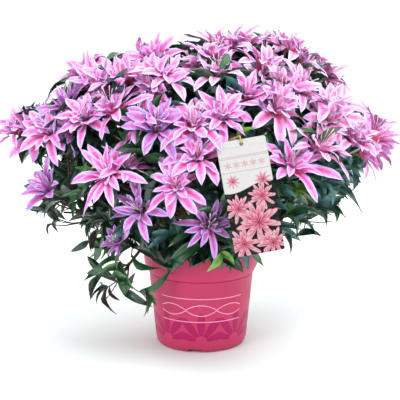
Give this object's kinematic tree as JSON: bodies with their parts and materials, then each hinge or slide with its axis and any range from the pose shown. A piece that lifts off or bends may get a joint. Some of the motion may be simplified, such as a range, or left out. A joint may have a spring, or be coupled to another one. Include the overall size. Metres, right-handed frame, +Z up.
{
  "type": "azalea shrub in a nursery pot",
  "caption": "Spreading evergreen azalea shrub with double, narrow-petalled pink blooms, in a tapered pink nursery pot with a hanging plant label.",
  "frame": {"origin": "middle of the pot's flat underside, on the ground", "axes": "+Z up along the pot's axis, -Y towards the front, where the label hangs, +X to the right as seen from the front"},
  "size_m": [0.5918, 0.4998, 0.4686],
  "materials": {
    "pot": "satin",
    "compost": "matte",
    "bark": "matte",
    "blossom": "matte",
    "leaf": "satin",
    "card": "satin",
    "twine": "matte"
  },
  "bodies": {
    "root": {"pot": "pot", "compost": "compost", "trunk": "bark", "bough_front_high_left": "bark", "bough_front_low_left": "bark", "bough_front_crest_right": "bark", "bough_front_low_right": "bark", "bough_back_high_left": "bark", "bough_back_low_left": "bark", "bough_back_crest_right": "bark", "bough_back_low_right": "bark", "bough_front_tip_left": "bark", "bough_front_crest_left": "bark", "bough_front_middle": "bark", "bough_front_crest_middle": "bark", "bough_front_tip_right": "bark", "bough_back_tip_left": "bark", "bough_back_crest_left": "bark", "bough_back_middle": "bark", "bough_back_crest_middle": "bark", "bough_back_tip_right": "bark", "bough_top": "bark", "bough_skirt_left": "bark", "bough_skirt_front": "bark", "bough_skirt_right": "bark", "bough_sprig_left": "bark", "bough_sprig_hanging": "bark", "bough_sprig_right": "bark", "bough_skirt_back_right": "bark", "bough_skirt_back_left": "bark", "label_card": "card", "label_tie": "twine", "foliage_front_tip_left": "blossom", "foliage_front_high_left": "blossom", "foliage_front_crest_left": "blossom", "foliage_front_low_left": "blossom", "foliage_front_middle": "blossom", "foliage_front_crest_middle": "blossom", "foliage_front_crest_right": "blossom", "foliage_front_low_right": "blossom", "foliage_front_tip_right": "blossom", "foliage_back_tip_left": "blossom", "foliage_back_high_left": "blossom", "foliage_back_crest_left": "blossom", "foliage_back_low_left": "blossom", "foliage_back_middle": "blossom", "foliage_back_crest_middle": "blossom", "foliage_back_crest_right": "blossom", "foliage_back_low_right": "blossom", "foliage_back_tip_right": "blossom", "foliage_top": "blossom", "foliage_skirt_left": "leaf", "foliage_skirt_front": "leaf", "foliage_skirt_right": "leaf", "foliage_sprig_left": "leaf", "foliage_sprig_hanging": "leaf", "foliage_sprig_right": "leaf", "foliage_skirt_back_right": "leaf", "foliage_skirt_back_left": "leaf"}
  },
  "joints": []
}
